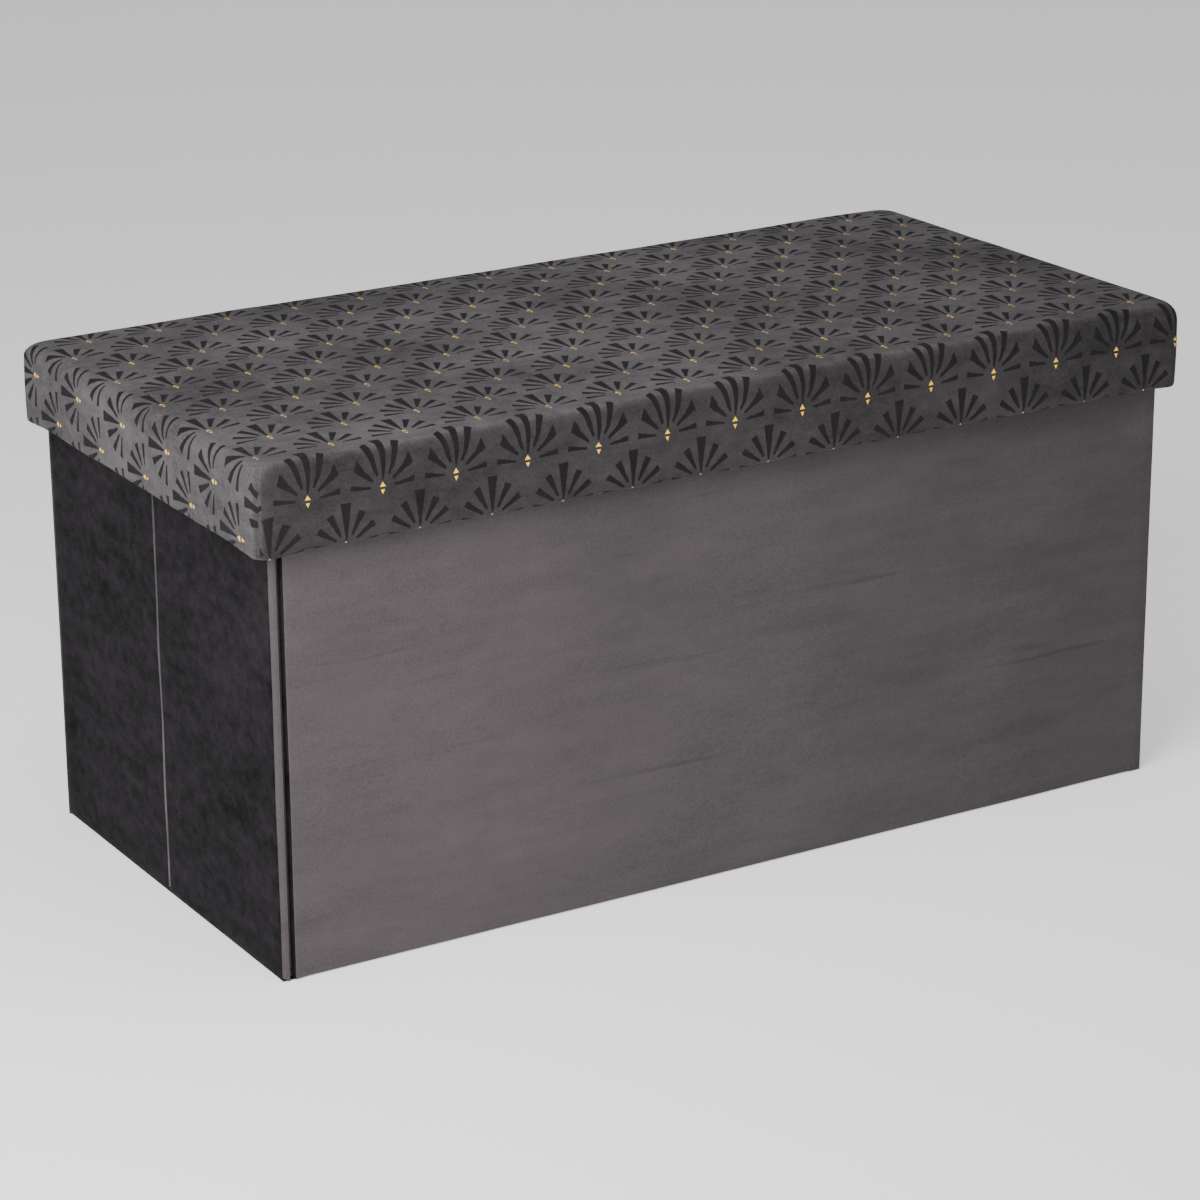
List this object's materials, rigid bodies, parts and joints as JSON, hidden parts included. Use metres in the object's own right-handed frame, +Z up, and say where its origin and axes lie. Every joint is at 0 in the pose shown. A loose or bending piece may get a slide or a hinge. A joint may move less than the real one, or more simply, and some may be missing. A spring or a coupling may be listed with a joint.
{
  "type": "storage bench",
  "caption": "Low upholstered storage bench with a padded lift-off cap lid and thin box walls that fold flat at the ends.",
  "frame": {"origin": "on the floor, under the centre of the bench", "axes": "+X to the right along the bench, +Y to the back, +Z up"},
  "size_m": [0.76, 0.38, 0.376],
  "materials": {
    "lid_velvet": "grey velvet, printed with dark fans and small gold triangles",
    "body_velvet": "plain grey velvet",
    "lining_cloth": "black non-woven cloth",
    "ribbon": "woven ribbon",
    "seam_thread": "light grey thread",
    "foam": "open-cell foam",
    "hardboard": "brown hardboard",
    "staple_wire": "wire"
  },
  "bodies": {
    "front_wall": {"front_board": "hardboard", "front_velvet": "body_velvet", "front_lining": "lining_cloth", "front_hem": "body_velvet", "left_front_hinge_cloth": "body_velvet", "right_front_hinge_cloth": "body_velvet", "bottom_cloth": "lining_cloth"},
    "left_front_half": {"left_front_board": "hardboard", "left_front_velvet": "body_velvet", "left_front_lining": "lining_cloth", "left_front_hem": "body_velvet", "left_fold_seam": "seam_thread"},
    "left_rear_half": {"left_rear_board": "hardboard", "left_rear_velvet": "body_velvet", "left_rear_lining": "lining_cloth", "left_rear_hem": "body_velvet"},
    "back_wall": {"back_board": "hardboard", "back_velvet": "body_velvet", "back_lining": "lining_cloth", "back_hem": "body_velvet", "left_rear_hinge_cloth": "body_velvet", "right_rear_hinge_cloth": "body_velvet"},
    "right_front_half": {"right_front_board": "hardboard", "right_front_velvet": "body_velvet", "right_front_lining": "lining_cloth", "right_front_hem": "body_velvet", "right_fold_seam": "seam_thread"},
    "right_rear_half": {"right_rear_board": "hardboard", "right_rear_velvet": "body_velvet", "right_rear_lining": "lining_cloth", "right_rear_hem": "body_velvet"},
    "base": {"base_board": "hardboard", "base_lining": "lining_cloth", "base_tab": "ribbon"},
    "lid": {"lid_board": "hardboard", "lid_foam": "foam", "lid_cover": "lid_velvet", "lid_lining": "lining_cloth", "lid_front_rim": "hardboard", "lid_back_rim": "hardboard", "lid_left_rim": "hardboard", "lid_right_rim": "hardboard", "lid_corner_strips": "hardboard", "lid_hem": "lid_velvet", "lid_staples": "staple_wire"}
  },
  "joints": [
    {"name": "lid_lift", "type": "slide", "parent": "front_wall", "child": "lid", "axis": [0, 0, 1], "range_m": [0, 0.7]},
    {"name": "base_lift", "type": "slide", "parent": "front_wall", "child": "base", "axis": [0, 0, 1], "range_m": [0, 0.35]},
    {"name": "left_front_fold", "type": "hinge", "parent": "front_wall", "child": "left_front_half", "pos_m": [-0.3595, -0.1695, 0.17], "axis": [0, 0, -1], "range_deg": [0, 90], "deforming": ["left_front_hem", "left_front_hinge_cloth", "bottom_cloth", "front_hem"]},
    {"name": "left_middle_fold", "type": "hinge", "parent": "left_front_half", "child": "left_rear_half", "pos_m": [-0.368, 0, 0.17], "axis": [0, 0, 1], "range_deg": [0, 180], "deforming": ["left_rear_hem", "left_fold_seam"]},
    {"name": "back_fold", "type": "hinge", "parent": "left_rear_half", "child": "back_wall", "pos_m": [-0.3595, 0.1695, 0.17], "axis": [0, 0, -1], "range_deg": [0, 90], "deforming": ["back_hem", "left_rear_hinge_cloth", "right_rear_hinge_cloth"]},
    {"name": "right_front_fold", "type": "hinge", "parent": "front_wall", "child": "right_front_half", "pos_m": [0.3595, -0.1695, 0.17], "axis": [0, 0, 1], "range_deg": [0, 90], "deforming": ["right_front_hem", "right_front_hinge_cloth"]},
    {"name": "right_middle_fold", "type": "hinge", "parent": "right_front_half", "child": "right_rear_half", "pos_m": [0.368, 0, 0.17], "axis": [0, 0, -1], "range_deg": [0, 180], "deforming": ["right_rear_hem", "right_fold_seam"]}
  ],
  "couplings": [
    {"joint": "base_lift", "follows": "lid_lift", "ratio": 0.5},
    {"joint": "left_middle_fold", "follows": "left_front_fold", "ratio": 2},
    {"joint": "back_fold", "follows": "left_front_fold", "ratio": 1},
    {"joint": "right_front_fold", "follows": "left_front_fold", "ratio": 1},
    {"joint": "right_middle_fold", "follows": "left_front_fold", "ratio": 2}
  ]
}
